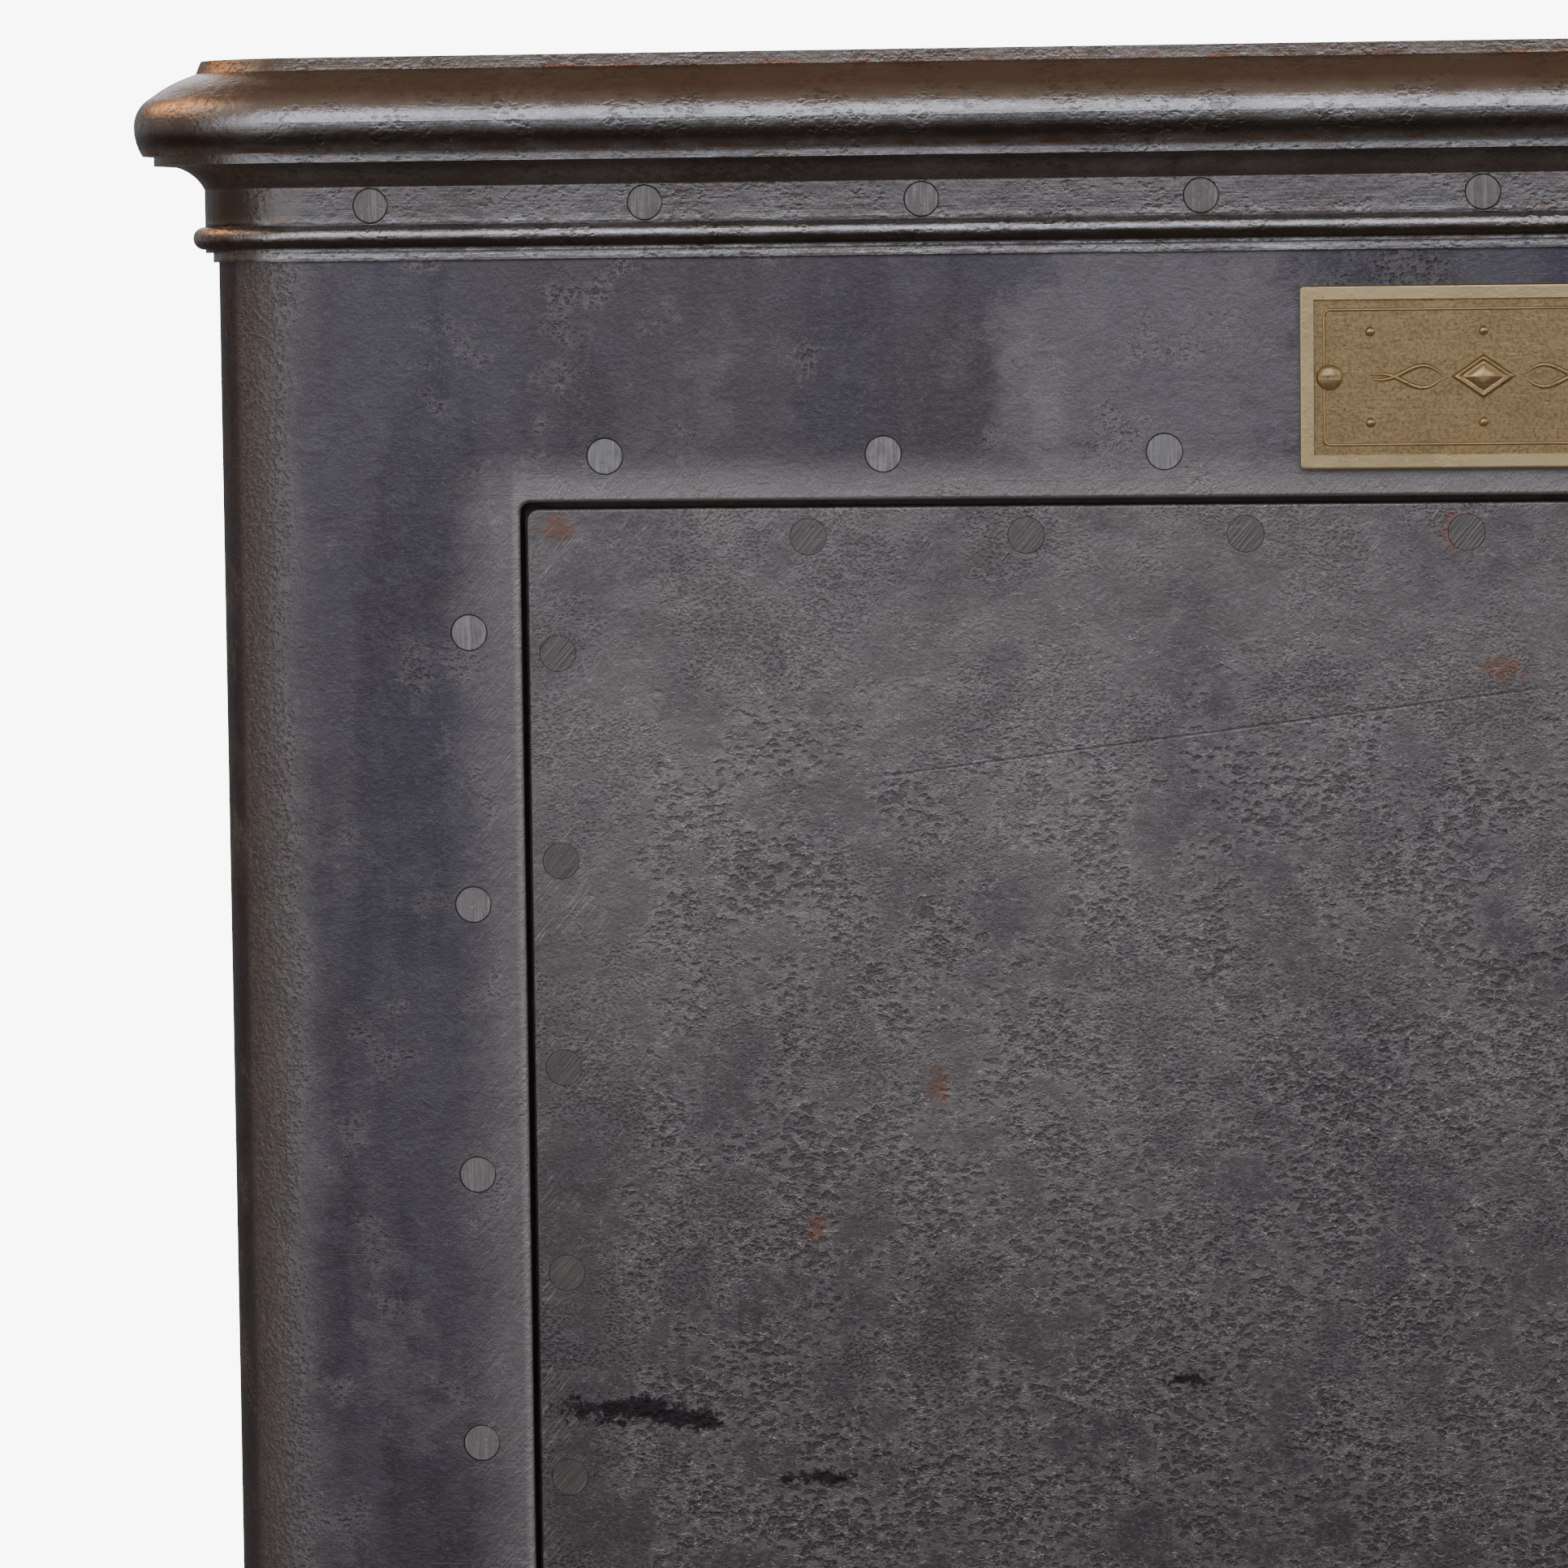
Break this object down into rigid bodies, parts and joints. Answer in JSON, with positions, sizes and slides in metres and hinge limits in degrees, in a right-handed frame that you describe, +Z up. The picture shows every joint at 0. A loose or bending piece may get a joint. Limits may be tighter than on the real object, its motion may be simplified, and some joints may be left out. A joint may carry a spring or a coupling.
{
  "type": "iron safe",
  "caption": "Free-standing fireproof iron safe with a flush door, moulded cornice and plinth, boltwork thrown by a handle, key locks and combination dials.",
  "frame": {"origin": "middle of the body's footprint, on the floor", "axes": "+X right as seen from the front, the front looks along -Y, +Z up"},
  "size_m": [0.6396, 0.5376, 1.21],
  "materials": {
    "blued_iron": "hot-rolled iron plate, dark and worn, with scale",
    "pitted_iron": "corroded and filed iron plate with rust spots",
    "worn_steel": "filed and polished steel moulding",
    "filed_rivet": "rivets filed flush",
    "lock_steel": "oiled lock steel",
    "aged_brass": "aged brass",
    "inner_paint": "old matt paint",
    "plaster_packing": "plaster and ash, dry and dull"
  },
  "bodies": {
    "safe_body": {"front_frame": "blued_iron", "outer_shell": "blued_iron", "seam_straps": "blued_iron", "shell_rivets": "filed_rivet", "top_plate": "blued_iron", "base_plate": "blued_iron", "cornice_moulding": "worn_steel", "plinth_moulding": "worn_steel", "moulding_rivets": "filed_rivet", "door_jamb": "blued_iron", "frame_rivets": "filed_rivet", "inner_box": "inner_paint", "fire_packing": "plaster_packing", "shelf": "inner_paint", "shelf_brackets": "inner_paint", "name_plate": "aged_brass", "name_plate_screws": "aged_brass", "frame_hinge_leaves": "blued_iron", "hinge_pins": "worn_steel"},
    "door": {"door_hinge_leaves": "blued_iron", "door_front_plate": "pitted_iron", "door_backing_plate": "pitted_iron", "door_rivets": "filed_rivet", "door_box_frame": "inner_paint", "dog_bolts": "lock_steel", "door_packing": "plaster_packing", "lock_plate": "lock_steel", "spindle_sleeves": "aged_brass", "door_back_cover": "inner_paint", "back_cover_screws": "lock_steel", "bolt_guides": "lock_steel", "lock_bolt_guides": "lock_steel", "handle_rosette": "worn_steel", "dial_rings": "aged_brass", "keyhole_escutcheons": "aged_brass", "cover_pivot_screws": "lock_steel"},
    "handle": {"door_handle": "worn_steel", "handle_shaft": "lock_steel", "handle_pinion": "lock_steel"},
    "carriage": {"bolt_carriage": "lock_steel", "side_bolts": "lock_steel", "gate_pins": "lock_steel"},
    "top_boltwork": {"top_slide": "lock_steel", "top_bolts": "lock_steel"},
    "bottom_boltwork": {"bottom_slide": "lock_steel", "bottom_bolts": "lock_steel"},
    "left_barrel": {"left_key_barrel": "lock_steel"},
    "left_key_bolt": {"left_lock_bolt": "lock_steel"},
    "left_cover": {"left_keyhole_cover": "aged_brass"},
    "right_barrel": {"right_key_barrel": "lock_steel"},
    "right_key_bolt": {"right_lock_bolt": "lock_steel"},
    "right_cover": {"right_keyhole_cover": "aged_brass"},
    "dial_1": {"combination_dial_1": "aged_brass", "gate_wheel_1": "lock_steel"},
    "dial_2": {"combination_dial_2": "aged_brass", "gate_wheel_2": "lock_steel"},
    "dial_3": {"combination_dial_3": "aged_brass", "gate_wheel_3": "lock_steel"},
    "dial_4": {"combination_dial_4": "aged_brass", "gate_wheel_4": "lock_steel"}
  },
  "joints": [
    {"name": "door_swing", "type": "hinge", "parent": "safe_body", "child": "door", "pos_m": [0.226, -0.262, 0.62875], "axis": [0, 0, 1], "range_deg": [0, 115]},
    {"name": "handle_turn", "type": "hinge", "parent": "door", "child": "handle", "pos_m": [0, -0.25, 0.62875], "axis": [0, 1, 0], "range_deg": [0, 90]},
    {"name": "carriage_slide", "type": "slide", "parent": "door", "child": "carriage", "axis": [-1, 0, 0], "range_m": [0, 0.022]},
    {"name": "top_bolt_slide", "type": "slide", "parent": "door", "child": "top_boltwork", "axis": [0, 0, 1], "range_m": [0, 0.022]},
    {"name": "bottom_bolt_slide", "type": "slide", "parent": "door", "child": "bottom_boltwork", "axis": [0, 0, -1], "range_m": [0, 0.022]},
    {"name": "left_key_turn", "type": "hinge", "parent": "door", "child": "left_barrel", "pos_m": [-0.085, -0.25, 0.62875], "axis": [0, 1, 0], "range_deg": [0, 90]},
    {"name": "left_lock_throw", "type": "slide", "parent": "door", "child": "left_key_bolt", "axis": [0, 0, -1], "range_m": [0, 0.00943]},
    {"name": "left_cover_swing", "type": "hinge", "parent": "door", "child": "left_cover", "pos_m": [-0.085, -0.25, 0.64875], "axis": [0, 1, 0], "range_deg": [0, 110]},
    {"name": "right_key_turn", "type": "hinge", "parent": "door", "child": "right_barrel", "pos_m": [0.085, -0.25, 0.62875], "axis": [0, 1, 0], "range_deg": [0, 90]},
    {"name": "right_lock_throw", "type": "slide", "parent": "door", "child": "right_key_bolt", "axis": [0, 0, -1], "range_m": [0, 0.00943]},
    {"name": "right_cover_swing", "type": "hinge", "parent": "door", "child": "right_cover", "pos_m": [0.085, -0.25, 0.64875], "axis": [0, -1, 0], "range_deg": [0, 110]},
    {"name": "dial_1_turn", "type": "hinge", "parent": "door", "child": "dial_1", "pos_m": [-0.105, -0.25, 0.74875], "axis": [0, 1, 0], "continuous": true},
    {"name": "dial_2_turn", "type": "hinge", "parent": "door", "child": "dial_2", "pos_m": [-0.035, -0.25, 0.74875], "axis": [0, 1, 0], "continuous": true},
    {"name": "dial_3_turn", "type": "hinge", "parent": "door", "child": "dial_3", "pos_m": [0.035, -0.25, 0.74875], "axis": [0, 1, 0], "continuous": true},
    {"name": "dial_4_turn", "type": "hinge", "parent": "door", "child": "dial_4", "pos_m": [0.105, -0.25, 0.74875], "axis": [0, 1, 0], "continuous": true}
  ],
  "couplings": [
    {"joint": "carriage_slide", "follows": "handle_turn", "m_per_rad": 0.014},
    {"joint": "top_bolt_slide", "follows": "handle_turn", "m_per_rad": 0.014},
    {"joint": "bottom_bolt_slide", "follows": "handle_turn", "m_per_rad": 0.014},
    {"joint": "left_lock_throw", "follows": "left_key_turn", "m_per_rad": 0.006},
    {"joint": "right_lock_throw", "follows": "right_key_turn", "m_per_rad": 0.006}
  ]
}
